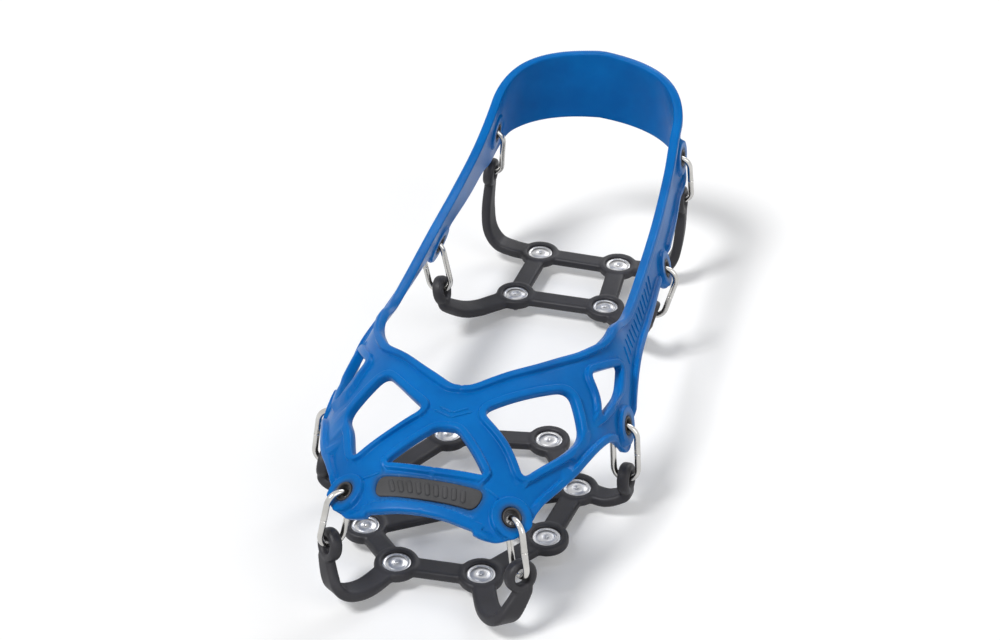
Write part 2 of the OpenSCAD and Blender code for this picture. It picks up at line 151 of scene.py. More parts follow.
# The foot pulls the large windows to its outer side, by up to this many degrees. The pull grows
# and fades between these places along and across the pattern.
outward_pull, pull_along, pull_across = 3.6, (42, 60, 79, 97), (13, 38, 46, 56)
band_top, band_low = 52.0, 68.0
arch_width = ((15, -25), (20, -20), (30, -13), (50, -6), (75, -1), (100, 0), (131, -2))
arch_height = ((15, 23), (20, 27), (30, 32), (50, 39.5), (75, 46.5), (100, 52.3), (131, 62.3))
band_top_x = ((120, 43.7), (150, 44), (184, 43.5), (212, 42.5), (240, 41), (262, 39.5), (316, 39.5))
band_top_z = ((120, 42), (135, 38), (150, 37.5), (184, 40), (212, 42.5), (240, 48), (262, 58),
              (285, 67), (316, 72))
band_low_x = ((120, 52.5), (132, 52), (162, 50), (183, 48.5), (200, 47.5), (234, 45), (262, 42.5),
              (316, 42.5))
band_low_z = ((120, 26.5), (132, 25.5), (162, 24.5), (183, 25), (216, 25.5), (234, 26.5), (250, 30),
              (275, 35), (316, 40))
skew_share = ((20, 0.15), (30, 0.2), (45, 0.5), (65, 1), (120, 1), (180, 0.55), (240, 0), (320, 0))


def smoothstep(x, low, high):
    u = np.clip((np.asarray(x, float) - low) / (high - low), 0, 1)
    return u * u * (3 - 2 * u)


def curve(table, x):
    """Value at x of a smooth curve through a table's rows."""
    xs, ys = np.array(table, float).T
    x, last = np.asarray(x, float), len(xs) - 1
    before, after = np.maximum(np.arange(last + 1) - 1, 0), np.minimum(np.arange(last + 1) + 1, last)
    slopes = (ys[after] - ys[before]) / (xs[after] - xs[before])
    i = np.clip(np.searchsorted(xs, x, side="right") - 1, 0, last - 1)
    h = xs[i + 1] - xs[i]
    u = np.clip((x - xs[i]) / h, 0, 1)
    return ((2 * u**3 - 3 * u**2 + 1) * ys[i] + (u**3 - 2 * u**2 + u) * slopes[i] * h
            + (3 * u**2 - 2 * u**3) * ys[i + 1] + (u**3 - u**2) * slopes[i + 1] * h)


def place(x, a, z):
    """Point at half width x, pattern length a and height z, skewed as the foot is."""
    x, a = np.asarray(x, float), np.asarray(a, float)
    y = a + lasting_skew * curve(skew_share, a) * x - toe_to_origin
    return np.stack([x, y, z + 0 * x], -1)


def form(a, t):
    """Middle of the worn sheet, at pattern points a, t."""
    a, t = np.asarray(a, float), np.asarray(t, float)
    along_foot = smoothstep(a, *pull_along[:2]) * (1 - smoothstep(a, *pull_along[2:]))
    across_foot = smoothstep(np.abs(t), *pull_across[:2]) * (1 - smoothstep(np.abs(t), *pull_across[2:]))
    t = t + outward_pull * along_foot * across_foot
    side, s = np.where(t < 0, -1, 1), np.radians(np.abs(t))
    along = np.minimum(a, arch_end)
    n = (np.abs(np.sin(s)) ** arch_power + np.abs(np.cos(s)) ** arch_power) ** (1 / arch_power)
    arch = np.stack([(ball_half_w + curve(arch_width, along)) * np.sin(s) / n, along,
                     edge_datum_z + curve(arch_height, along) * np.cos(s) / n], -1)
    v = (np.abs(t) - band_top) / (band_low - band_top)
    turn = np.radians(90 * np.clip((a - heel_centre_a) / heel_arc, 0, 1))
    x = curve(band_top_x, a) * (1 - v) + curve(band_low_x, a) * v
    z = curve(band_top_z, a) * (1 - v) + curve(band_low_z, a) * v
    band = np.stack([x * np.cos(turn).clip(0) ** heel_power,
                     np.minimum(a, heel_centre_a) + heel_depth * np.sin(turn),
                     edge_datum_z + z], -1)
    b = smoothstep(a, blend_start, blend_end)[..., None]
    p = arch * (1 - b) + band * b
    return place(p[..., 0] * side, p[..., 1], p[..., 2])


def unit(v):
    return v / np.linalg.norm(v, axis=-1, keepdims=True)


def sheet_normal(a, t):
    """Outward normal of the worn sheet."""
    a, t = np.minimum(np.asarray(a, float), pattern_end - 0.5), np.asarray(t, float)
    return unit(np.cross(form(a, t + 0.5) - form(a, t - 0.5), form(a + 0.5, t) - form(a - 0.5, t)))


# Each outline is a list of corners [a, t, cut], where cut is how far before the corner its
# round begins. They are the right half of the harness.
front_and_lower_edge = (
    (20.7, 0, 0), (20.5, 12, 5), (19.9, 24, 4), (20, 30.6, 0.4), (19, 31.6, 0.6), (18.9, 38, 3),
    (20.5, 46.5, 3), (25.5, 51.6, 3), (32, 53, 3), (36.8, 50.4, 3), (45, 53.6, 4), (54, 57.4, 4),
    (70, 61.2, 5), (79, 65.5, 5), (85, 76, 4), (88.5, 82, 2.5), (93, 83.8, 2.5), (98, 82, 2.5),
    (102.5, 76, 4), (110, 71, 4), (121, 68.8, 4), (131, 68, 4), (187.5, 68, 3), (192, 73.6, 3),
    (196, 77.6, 2.5), (202, 77.6, 2.5), (206, 73.6, 3), (210.5, 68, 3), (248, 68, 4),
    (257, 70.6, 4), (267, 70.6, 4), (276, 68, 4), (pattern_end, 68, 0))
upper_edge = (
    (pattern_end, 52, 0), (240, 52, 5), (136, 52, 6), (119, 48.8, 6), (109, 42.6, 5), (98, 34.8, 5),
    (85, 20.2, 5), (77.5, 10, 4), (73, 3.6, 3.2), (72.8, 0, 0))
centre_window_edge = ((53.4, 0, 0), (53.4, 4.2, 2.6), (38.2, 22, 2.2), (37.6, 9, 4), (37.5, 0, 0))
large_window = ((62, 11, 4.2), (81.4, 34.4, 4.6), (66.5, 47.6, 4.6), (42.2, 37, 3))
small_window = ((94, 42.9, 2.6), (109.6, 55.6, 2.4), (97.5, 58.8, 4.5), (80.4, 54, 2))
eyelet_at = ((29, 41.8), (93, 71), (199, 69.2), (262, 62))
eyelet_places, sides = ("toe", "ball", "arch", "heel"), (("r", 1), ("l", -1))


def rounded_corners(corners, closed):
    """Points of an outline whose corners are rounded by parabolas."""
    pts = np.array([c[:2] for c in corners], float)
    count, out = len(pts), []
    for i, (_, _, cut) in enumerate(corners):
        if not closed and i in (0, count - 1):
            out.append(pts[i])
            continue
        before, here, after = pts[i - 1], pts[i], pts[(i + 1) % count]
        to_before, to_after = before - here, after - here
        start = here + to_before * min(cut / np.linalg.norm(to_before), 0.48)
        stop = here + to_after * min(cut / np.linalg.norm(to_after), 0.48)
        for u in np.linspace(0, 1, 9):
            out.append((1 - u) ** 2 * start + 2 * u * (1 - u) * here + u * u * stop)
    return np.array(out)


def evenly(points, step, closed=False):
    """The same line with points every step millimetres of the worn sheet."""
    if closed:
        points = np.vstack([points, points[:1]])
    fine = np.vstack([points[i] + (points[i + 1] - points[i]) * np.linspace(0, 1, 12)[:-1, None]
                      for i in range(len(points) - 1)] + [points[-1:]])
    gone = np.r_[0, np.cumsum(np.linalg.norm(np.diff(form(fine[:, 0], fine[:, 1]), axis=0), axis=1))]
    count = max(int(round(gone[-1] / step)), 2)
    at = np.linspace(0, gone[-1], count + 1)
    out = np.stack([np.interp(at, gone, fine[:, k]) for k in (0, 1)], 1)
    return out[:-1] if closed else out


def sheet_basis(a, t):
    """Change of pattern point per millimetre along two square directions on the sheet."""
    da = (form(a + 0.5, t) - form(a - 0.5, t))
    dt = (form(a, t + 0.5) - form(a, t - 0.5))
    first = unit(da)
    rest = dt - (dt * first).sum(-1, keepdims=True) * first
    across = np.linalg.norm(rest, axis=-1)
    lean = (dt * first).sum(-1)
    along = np.linalg.norm(da, axis=-1)
    return np.stack([np.stack([1 / along, 0 * along], -1),
                     np.stack([-lean / (along * across), 1 / across], -1)], -2)


def round_hole(a, t, radius, count):
    """Pattern points of a circle on the sheet."""
    basis = sheet_basis(np.array(a, float), np.array(t, float))
    angle = np.linspace(0, 2 * np.pi, count, endpoint=False)
    return np.array([a, t]) + radius * (np.cos(angle)[:, None] * basis[0]
                                        + np.sin(angle)[:, None] * basis[1])


edge_step = 0.95
lower = evenly(rounded_corners(front_and_lower_edge, False), edge_step)
heel_seam = evenly(np.array([[pattern_end, 68.0], [pattern_end, 52.0]]), edge_step)
upper = evenly(rounded_corners(upper_edge, False), edge_step)
hub_seam = evenly(np.array([[72.8, 0.0], [53.4, 0.0]]), edge_step)
centre = evenly(rounded_corners(centre_window_edge, False), edge_step)
front_seam = evenly(np.array([[37.5, 0.0], [20.7, 0.0]]), edge_step)
outer_loop = np.vstack([c[:-1] for c in (lower, heel_seam, upper, hub_seam, centre, front_seam)])
window_loops = [evenly(rounded_corners(w, True), edge_step, True) for w in (large_window, small_window)]
ring_lip_r, boss_r, boss_h = 3.65, 7.4, 2.3
seat_loops = [round_hole(a, t, ring_lip_r, 36) for a, t in eyelet_at]
loops = [outer_loop] + window_loops + seat_loops

moulded_edges = np.vstack([lower, upper, centre] + window_loops)
eyelet_centres = np.array([form(a, t) for a, t in eyelet_at])


def inside(points, loops):
    """Which pattern points lie within an odd number of loops."""
    hits = np.zeros(len(points), int)
    for loop in loops:
        for p, q in zip(loop, np.roll(loop, -1, 0)):
            if p[0] != q[0]:
                reach = p[1] + (points[:, 0] - p[0]) / (q[0] - p[0]) * (q[1] - p[1])
                hits += ((p[0] > points[:, 0]) != (q[0] > points[:, 0])) & (points[:, 1] < reach)
    return hits % 2 == 1


def tree_of(line):
    """Search tree over a pattern line's points on the worn sheet."""
    tree = kdtree.KDTree(len(line))
    for number, point in enumerate(form(line[:, 0], line[:, 1])):
        tree.insert(point, number)
    tree.balance()
    return tree


edge_tree = tree_of(moulded_edges)


def distance_to(tree, points):
    """Distance over the sheet from pattern points to a line's tree."""
    return np.array([tree.find(p)[2] for p in form(points[:, 0], points[:, 1])])


def eyelet_distance(points):
    """Distance from pattern points to the nearest eyelet's centre."""
    return np.linalg.norm(form(points[:, 0], points[:, 1])[:, None] - eyelet_centres[None], axis=2).min(1)


# Name plate's seat, let into the front band between its two rims
plate_corners = ((33.0, -24.0, 3.6), (33.2, 25.6, 3.9), (25.6, 25.2, 3.6), (25.2, -26.2, 3.9))
plate_outline = evenly(rounded_corners(plate_corners, True), 0.8, True)
plate_tree = tree_of(plate_outline)


def plate_inset(points):
    """How far a point lies inside the plate's outline, in millimetres (negative outside)."""
    away = distance_to(plate_tree, points)
    return np.where(inside(points, [plate_outline]), away, -away)


def rows_along(line, closed, reaches, loops):
    """Rows of points at some distances from a line, on the side where the sheet is."""
    ahead = np.roll(line, -1, 0) - np.roll(line, 1, 0)
    if not closed:
        ahead[0], ahead[-1] = line[1] - line[0], line[-1] - line[-2]
    basis = sheet_basis(line[:, 0], line[:, 1])
    flat = np.einsum("ni,nij->nj", ahead, np.linalg.inv(basis))
    flat = unit(np.stack([-flat[:, 1], flat[:, 0]], 1))
    rows = []
    for row, reach in enumerate(reaches):
        pick = slice(row % 2, None, 2) if reach > 3.7 else slice(None)
        for sign in (-1, 1):
            moved = (line + sign * reach * np.einsum("nj,nji->ni", flat, basis))[pick]
            rows.append(moved[inside(moved, loops)])
    return rows


# The mesh follows the edges, the plate's seat and the eyelets in rows, with a grid between them
edge_rows = (0.14, 0.4, 0.75, 1.2, 1.75, 2.2, 2.5, 2.75, 3.0, 3.25, 3.55, 3.85, 4.2, 4.6)
seat_rows, clear_of_edge, clear_of_rows = (0.12, 0.5), 0.25, 5.0
boss_rows = (3.75, 3.95, 4.3, 4.9, 5.6, 6.3, 6.9, 7.2, 7.4, 7.6, 7.8, 8.0, 8.3, 8.8)
points = []
for line, closed in ((lower, False), (upper, False), (centre, False), (window_loops[0], True),
                     (window_loops[1], True)):
    for reach in edge_rows:
        for moved in rows_along(line, closed, (reach,), loops):
            points.append(moved[distance_to(edge_tree, moved) > 0.9 * reach])
points += rows_along(plate_outline, True, seat_rows, [plate_outline])
points += rows_along(plate_outline, True, seat_rows, loops + [plate_outline])
grid_a, grid_t = 1.35, 1.3
grid = np.stack(np.meshgrid(np.arange(18, pattern_end, grid_a), np.arange(0.9, 85, grid_t)), -1)
grid = grid.reshape(-1, 2)
grid[:, 1] += grid_t / 2 * (np.round((grid[:, 0] - 18) / grid_a) % 2)
grid = grid[inside(grid, loops)]
points.append(grid[distance_to(edge_tree, grid) > clear_of_rows])
points = np.vstack(points)
boss_zone = boss_r + 1.9
points = points[eyelet_distance(points) > boss_zone]
rings = []
for a, t in eyelet_at:
    for radius in boss_rows:
        rings.append(round_hole(a, t, radius, int(radius * 8)))
rings = np.vstack(rings)
rings = rings[inside(rings, loops)]
points = np.vstack([points, rings[distance_to(edge_tree, rings) > clear_of_edge]])
points = points[(points[:, 1] > 0.3) & (points[:, 0] < pattern_end - 0.4)]


def fill(loops, points):
    """Triangles over a region of the pattern bounded by loops, with points inside it."""
    coords, ties = [], []
    for loop in loops:
        first = len(coords)
        coords += [Vector((t, a)) for a, t in loop]
        ties += [(first + i, first + (i + 1) % len(loop)) for i in range(len(loop))]
    coords += [Vector((t, a)) for a, t in points]
    flat_verts, _, faces, _, _, _ = geometry.delaunay_2d_cdt(coords, ties, [], 0, 1e-4)
    flat = np.array([(v.y, v.x) for v in flat_verts])
    faces = np.array([f for f in faces if len(f) == 3])
    faces = faces[inside(flat[faces].mean(1), loops)]
    used = np.unique(faces)
    renumber = np.full(len(flat), -1)
    renumber[used] = np.arange(len(used))
    return flat[used], renumber[faces]


def shell(pattern, faces, outer, inner):
    """Closed mesh between two heights over the sheet's middle."""
    directions = sheet_normal(pattern[:, 0], pattern[:, 1])
    behind = pattern[:, 0] > pattern_end - 1e-3
    directions[behind, 0] = 0
    directions = unit(directions)
    middle = form(pattern[:, 0], pattern[:, 1])
    verts = np.vstack([middle + directions * outer[:, None], middle + directions * inner[:, None]])
    total = len(pattern)
    edges = np.vstack([faces[:, [0, 1]], faces[:, [1, 2]], faces[:, [2, 0]]]).tolist()
    forward = set(map(tuple, edges))
    walls = [(q, p, p + total, q + total) for p, q in edges if (q, p) not in forward]
    return verts, faces.tolist() + (faces[:, ::-1] + total).tolist() + walls


pattern, triangles = fill(loops, points)

# Heights of the outer and inner face over the middle of the sheet
rim_height, floor_height, inner_depth, edge_round = 2.5, 0.95, 1.5, 1.0
rim_width, crease_width, front_rim_extra = 2.5, 0.6, 1.3
edge_far = distance_to(edge_tree, pattern)
eyelet_far = eyelet_distance(pattern)
at_front = (1 - smoothstep(pattern[:, 0], 24.6, 26.4)) * (1 - smoothstep(pattern[:, 1], 28.5, 31.5))
raised = (rim_height - floor_height) * smoothstep(eyelet_far, 8.8, 12.5) + 0.2 * at_front
rim_end = rim_width + front_rim_extra * at_front
fall = smoothstep(edge_far, rim_end, rim_end + crease_width)
crease = np.clip(1 - np.abs(edge_far - rim_width - crease_width - 0.1) / 0.7, 0, 1)
groove = np.clip(1 - np.abs(eyelet_far - boss_r - 0.45) / 0.4, 0, 1)
outer_height = floor_height + raised * (1 - fall) - 0.12 * crease * fall - 0.15 * groove
seat_depth = 0.8
outer_height -= seat_depth * smoothstep(plate_inset(pattern), -0.2, 0.2)
on_boss = 1 - smoothstep(eyelet_far, boss_r - 0.1, boss_r + 0.5)
boss_sag = np.zeros(len(pattern))
middle = form(pattern[:, 0], pattern[:, 1])
normals = sheet_normal(pattern[:, 0], pattern[:, 1])
for (a, t), at in zip(eyelet_at, eyelet_centres):
    near = np.linalg.norm(middle - at, axis=1) < boss_r + 2
    axis = sheet_normal(a, t)
    boss_sag[near] = -((middle[near] - at) @ axis) / (normals[near] @ axis)
lip = 0.4 * np.clip(1 - (eyelet_far - ring_lip_r) / 0.6, 0, 1) ** 2
outer_height += (boss_h + boss_sag - lip - outer_height) * on_boss
corner = 1 - np.sqrt(1 - (1 - np.clip(edge_far / edge_round, 0, 1)) ** 2)
outer_height -= edge_round * corner
inner_height = -inner_depth + (inner_depth - boss_h + boss_sag + lip) * on_boss + 0.5 * corner

half = len(pattern)
on_seam = (np.abs(pattern[:, 1]) < 1e-3) | (pattern[:, 0] > pattern_end - 1e-3)
twin = np.where(on_seam, np.arange(half), np.arange(half) + half)
both_sides = np.vstack([pattern, pattern * np.array([1, -1])])
sheet_faces = np.vstack([triangles, twin[triangles][:, ::-1]])
harness_verts, harness_faces = shell(both_sides, sheet_faces, np.tile(outer_height, 2),
                                     np.tile(inner_height, 2))


def turned_ring(centre, axis, profile, count=48):
    """Closed ring turned from a closed profile of (radius, height) round an axis."""
    axis = unit(np.asarray(axis, float))
    helper = np.array([0.0, 0.0, 1.0]) if abs(axis[2]) < 0.9 else np.array([1.0, 0.0, 0.0])
    first = unit(np.cross(helper, axis))
    second = np.cross(axis, first)
    profile = np.asarray(profile, float)
    angle = np.linspace(0, 2 * np.pi, count, endpoint=False)
    out = (np.cos(angle)[:, None] * first + np.sin(angle)[:, None] * second)
    verts = (centre + profile[None, :, :1] * out[:, None] + profile[None, :, 1:] * axis).reshape(-1, 3)
    m, faces = len(profile), []
    for i in range(count):
        for k in range(m):
            a, b = i * m + k, i * m + (k + 1) % m
            c, d = (i + 1) % count * m + k, (i + 1) % count * m + (k + 1) % m
            faces.append((a, b, d, c))
    return verts, faces


def merge(parts):
    """One list of vertices and faces from several."""
    verts, faces, first = [], [], 0
    for part_verts, part_faces in parts:
        verts.append(np.asarray(part_verts, float))
        faces += [tuple(int(k) + first for k in f) for f in part_faces]
        first += len(part_verts)
    return np.vstack(verts), faces


def bead(path, normals, width, height, sink):
    """A low raised bead with round ends along a path, sunk a little into the sheet."""
    path, normals, n = np.asarray(path), np.asarray(normals), len(path)
    ahead = unit(np.gradient(path, axis=0))
    out = np.cross(ahead, normals)
    arc = np.linspace(0, np.pi, 7)
    rings = []
    for i in range(n):
        end = min(i, n - 1 - i) / 2.0
        scale = math.sqrt(max(1 - (1 - min(end, 1)) ** 2, 0.0)) * 0.96 + 0.04
        half_w = width / 2 * scale
        for angle in arc:
            rings.append(path[i] + out[i] * half_w * math.cos(angle)
                         + normals[i] * (math.sin(angle) ** 0.7 * height * scale))
        rings.append(path[i] - out[i] * half_w - normals[i] * sink)
        rings.append(path[i] + out[i] * half_w - normals[i] * sink)
    m = len(arc) + 2
    faces = [(i * m + k, i * m + (k + 1) % m, (i + 1) * m + (k + 1) % m, (i + 1) * m + k)
             for i in range(n - 1) for k in range(m)]
    faces += [tuple(range(m))[::-1], tuple((n - 1) * m + k for k in range(m))]
    return np.array(rings), faces


def surface_bead(a0, t0, a1, t1, width, height, lift, count=12):
    """A bead on the harness's outer face between two pattern points."""
    a, t = np.linspace(a0, a1, count), np.linspace(t0, t1, count)
    normals = sheet_normal(a, t)
    return bead(form(a, t) + normals * lift, normals, width, height, 0.4)


# A chevron that points to the toe, a line at each end of the name plate, and slanted ribs on
# the side bands
mark_lift, rib_count, rib_first_a, rib_pitch = floor_height - 0.05, 13, 117, 4.6
extras = []
for side in (-1, 1):
    for back, reach in ((0.0, 5.8), (2.2, 4.4)):
        extras.append(surface_bead(58.6 + back, 0, 58.6 + back + reach * 0.55, side * reach * 1.3,
                                   0.8, 0.35, mark_lift))
    extras.append(surface_bead(34.4, side * 24, 32.6, side * 32.5, 0.9, 0.35, mark_lift))
    for number in range(rib_count):
        rib_a = rib_first_a + number * rib_pitch
        extras.append(surface_bead(rib_a, side * 63.4, rib_a + 3.2, side * 57.4, 1.2, 0.45, mark_lift))
harness_verts, harness_faces = merge([(harness_verts, harness_faces)] + extras)


def surface(name, dark, light, roughness, patch_size, grain_size, grain_depth, metallic=0.0,
            specular=0.5, mottle=0.06):
    """Procedural material: slow colour variation, uneven roughness and a fine grain.
    The sizes are in millimetres."""
    material, shader = new_material(name)
    nodes, links = material.node_tree.nodes, material.node_tree.links
    place_of = nodes.new("ShaderNodeTexCoord")
    patches, grain = nodes.new("ShaderNodeTexNoise"), nodes.new("ShaderNodeTexNoise")
    patches.inputs["Scale"].default_value = 1 / (patch_size * MM)
    patches.inputs["Detail"].default_value = 4.0
    grain.inputs["Scale"].default_value = 1 / (grain_size * MM)
    grain.inputs["Detail"].default_value = 3.0
    tint, sheen = nodes.new("ShaderNodeValToRGB"), nodes.new("ShaderNodeMapRange")
    tint.color_ramp.elements[0].position, tint.color_ramp.elements[1].position = 0.32, 0.7
    tint.color_ramp.elements[0].color, tint.color_ramp.elements[1].color = dark + (1,), light + (1,)
    sheen.inputs["To Min"].default_value = roughness - mottle
    sheen.inputs["To Max"].default_value = roughness + mottle
    bump = nodes.new("ShaderNodeBump")
    bump.inputs["Strength"].default_value = 0.6
    bump.inputs["Distance"].default_value = grain_depth * MM
    for noise in (patches, grain):
        links.new(place_of.outputs["Object"], noise.inputs["Vector"])
    links.new(patches.outputs["Fac"], tint.inputs["Fac"])
    links.new(tint.outputs["Color"], shader.inputs["Base Color"])
    links.new(grain.outputs["Fac"], sheen.inputs["Value"])
    links.new(sheen.outputs["Result"], shader.inputs["Roughness"])
    links.new(grain.outputs["Fac"], bump.inputs["Height"])
    links.new(bump.outputs["Normal"], shader.inputs["Normal"])
    shader.inputs["Metallic"].default_value = metallic
    shader.inputs["Specular IOR Level"].default_value = specular
    return material, shader


blue_material, blue = surface("blue_elastomer", (0.0008, 0.125, 0.42), (0.0015, 0.165, 0.52), 0.3,
                              18, 0.7, 0.03, specular=0.1)
blue.inputs["Subsurface Weight"].default_value = 0.25
blue.inputs["Subsurface Scale"].default_value = 1.6 * MM
blue.inputs["Subsurface Radius"].default_value = (0.2, 0.6, 1.0)

harness = add_mesh("harness_skin", harness_verts * MM, harness_faces, blue_material)
# Painted shade: the blue is darkened round each eyelet's ring and over and round the name plate's seat,
# where shade falls into the holes and along the seat's edge
ring_painted_shade = 0.8 * (1 - smoothstep(eyelet_far, 3.9, 5.6))
plate_painted_shade = 0.6 * (1 - smoothstep(-plate_inset(pattern), 0.0, 2.4))
painted_shade = np.zeros(len(harness_verts))
painted_shade[:4 * half] = np.tile(np.maximum(ring_painted_shade, plate_painted_shade), 4)
harness.data.attributes.new("painted_shade", "FLOAT", "POINT").data.foreach_set("value", painted_shade)
blue_nodes, blue_links = blue_material.node_tree.nodes, blue_material.node_tree.links
painted_shade_value, painted_shade_mix = blue_nodes.new("ShaderNodeAttribute"), blue_nodes.new("ShaderNodeMix")
painted_shade_value.attribute_name = "painted_shade"
painted_shade_mix.data_type = "RGBA"
# Dark blue of the painted shade round the eyelet rings and the name plate's seat
painted_shade_mix.inputs["B"].default_value = (0.035, 0.075, 0.16, 1)
blue_links.new(painted_shade_value.outputs["Fac"], painted_shade_mix.inputs["Factor"])
blue_links.new(blue.inputs["Base Color"].links[0].from_socket, painted_shade_mix.inputs["A"])
blue_links.new(painted_shade_mix.outputs["Result"], blue.inputs["Base Color"])
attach(harness, "harness")
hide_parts("harness")


# ---------------------------------------------------------------------------
# Name plate. A matt grey pill of harder rubber, bonded into its seat in the front
# band. Slanted bars stand on it where a maker's lettering would be.
# ---------------------------------------------------------------------------
plate_gap, plate_proud, plate_round = 0.12, 0.35, 0.45
bar_count, bar_first_t, bar_pitch = 9, -17.2, 4.3
plate_middle = plate_outline.mean(0)
plate_edge = plate_middle + (plate_outline - plate_middle) * (1 - plate_gap / np.array([4.0, 26.0]))
plate_points = rows_along(plate_edge, True, (0.12, 0.3, 0.55, 0.9, 1.6), [plate_edge])
plate_grid = np.stack(np.meshgrid(np.arange(26, 33, 1.2), np.arange(-25, 25, 1.3)), -1).reshape(-1, 2)
plate_edge_tree = tree_of(plate_edge)
plate_grid = plate_grid[inside(plate_grid, [plate_edge])]
plate_points.append(plate_grid[distance_to(plate_edge_tree, plate_grid) > 2.1])
plate_pattern, plate_faces = fill([plate_edge], np.vstack(plate_points))
plate_far = distance_to(plate_edge_tree, plate_pattern)
plate_drop = plate_round * (1 - np.sqrt(1 - (1 - np.clip(plate_far / plate_round, 0, 1)) ** 2))
plate_top = floor_height + plate_proud
plate_parts = [shell(plate_pattern, plate_faces, plate_top - plate_drop,
                     np.full(len(plate_pattern), floor_height - seat_depth - 0.1))]
for number in range(bar_count):
    bar_t = bar_first_t + number * bar_pitch
    plate_parts.append(surface_bead(26.9, bar_t + 1.2, 31.6, bar_t - 1.2, 1.9, 0.6, plate_top - 0.05))
plate_material, _ = surface("grey_rubber", (0.042, 0.042, 0.044), (0.062, 0.062, 0.066),
                            0.6, 9, 0.45, 0.05, specular=0.3)
plate_verts, plate_mesh_faces = merge(plate_parts)
plate = add_mesh("name_plate_inlay", plate_verts * MM, plate_mesh_faces, plate_material)
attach(plate, "harness")
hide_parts("name_plate")


# ---------------------------------------------------------------------------
# Eyelet rings. Hard dark rings moulded into the harness's eight bosses, so that the
# links run in them and not in the soft elastomer. The elastomer laps over each ring.
# ---------------------------------------------------------------------------
ring_bore_r, ring_half_t, ring_flange_r = 2.5, 2.45, 4.5
ring_profile = [(ring_flange_r, -1.4), (ring_flange_r, 1.4), (4.3, 1.6), (3.7, 1.6), (3.6, 1.8),
                (3.6, 2.2), (3.45, 2.4), (3.2, ring_half_t), (2.95, 2.35), (2.7, 2.0),
                (ring_bore_r, 1.3), (ring_bore_r, -1.3), (2.7, -2.0), (2.95, -2.35),
                (3.2, -ring_half_t), (3.45, -2.4), (3.6, -2.2), (3.6, -1.8), (3.7, -1.6), (4.3, -1.6)]
ring_material, _ = surface("dark_ring", (0.022, 0.021, 0.022), (0.04, 0.036, 0.036), 0.45,
                           4, 0.4, 0.03, specular=0.4)
for place_name, (a, t) in zip(eyelet_places, eyelet_at):
    for side_name, side in sides:
        ring_verts, ring_faces = turned_ring(form(a, side * t), sheet_normal(a, side * t), ring_profile)
        ring = add_mesh(f"eyelet_ring_{place_name}_{side_name}", ring_verts * MM, ring_faces,
                        ring_material)
        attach(ring, "harness")
        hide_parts(f"eyelet_{place_name}_{side_name}")


# ---------------------------------------------------------------------------
# Links. Oval rings of polished stainless wire, bent round and butt-welded half-way
# down the outer leg. Each hangs through an eyelet and carries an arm of a mat.
# ---------------------------------------------------------------------------
wire_r, link_len, link_w, wire_sides = 1.2, 22.5, 9.6, 20
link_hang = {"toe": (3.5, -4, -20.5), "ball": (2, -3.5, -19), "arch": (-6.4, -3.5, -24),
             "heel": (1.6, 2, -21)}
weld_profile = ((0.9, 1.2), (0.5, 1.26), (0.22, 1.24), (0.1, 1.0), (-0.1, 1.0), (-0.22, 1.24),
                (-0.5, 1.26), (-0.9, 1.2))


def link_axes(place_name, side):
    """Top of a link's wire, the way it hangs, and the way its wire runs at both ends."""
    a, t = dict(zip(eyelet_places, eyelet_at))[place_name]
    at, normal = form(a, side * t), sheet_normal(a, side * t)
    hang = unit(np.array(link_hang[place_name], float) * (side, 1, 1))
    pin = unit(normal - (normal @ hang) * hang)
    tilt, radius = math.asin(-(normal @ hang)), link_w / 2
    top = at + radius * math.sin(tilt) * pin - radius * (1 - math.cos(tilt)) * hang
    return top, hang, pin


def sections(path, radii, first, second, count):
    """Closed tube through rings that each lie across a closed path."""
    verts, faces = [], []
    angle = np.linspace(0, 2 * np.pi, count, endpoint=False)
    for point, radius, u, v in zip(path, radii, first, second):
        verts += list(point + radius * (np.cos(angle)[:, None] * u + np.sin(angle)[:, None] * v))
    n = len(path)
    for i in range(n):
        for k in range(count):
            a, b = i * count + k, i * count + (k + 1) % count
            c, d = (i + 1) % n * count + k, (i + 1) % n * count + (k + 1) % count
            faces.append((a, b, d, c))
    return np.array(verts), faces


def link_mesh(top, hang, pin):
    """Oval of wire that hangs from top, with its weld on the outer leg."""
    radius, straight = link_w / 2, link_len - link_w
    rings = []
    for angle in np.linspace(0, np.pi, 17):
        rings.append((radius * math.cos(angle), radius * math.sin(angle) - radius, angle, wire_r))
    for down in (0.25, 0.5, 0.75):
        rings.append((-radius, -radius - straight * down, np.pi, wire_r))
    for angle in np.linspace(np.pi, 2 * np.pi, 17):
        rings.append((radius * math.cos(angle), radius * math.sin(angle) - radius - straight, angle,
                      wire_r))
    for up, weld_r in reversed(weld_profile):
        rings.append((radius, -radius - straight / 2 + up, 0.0, weld_r))
    cross = np.cross(hang, pin)
    path = [top + x * pin - z * hang for x, z, _, _ in rings]
    out = [math.cos(angle) * pin - math.sin(angle) * hang for _, _, angle, _ in rings]
    return sections(path, [r[3] for r in rings], out, [cross] * len(rings), wire_sides)


steel_material, _ = surface("polished_steel", (0.5, 0.49, 0.47), (0.62, 0.61, 0.59), 0.17, 5, 0.5,
                            0.012, metallic=1.0, mottle=0.05)
for place_name in eyelet_places:
    for side_name, side in sides:
        link_verts, link_faces = link_mesh(*link_axes(place_name, side))
        name = f"link_{place_name}_{side_name}"
        link = add_mesh(f"wire_{name}", link_verts * MM, link_faces, steel_material)
        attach(link, name)
        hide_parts(name)


# ---------------------------------------------------------------------------
# Mats. Two nets of black thermoplastic polyurethane under the sole, moulded in one
# piece each: pods round the spikes, straps between them, and arms that rise to an eye.
# ---------------------------------------------------------------------------
strap_t, strap_w, strap_z, pod_r, pod_h = 3.8, 8.5, 7.0, 8.5, 4.6
arm_w, arm_t, eye_r, eye_hole_r, eye_t, neck_w = 9.0, 4.2, 6.3, 3.0, 4.8, 7.0
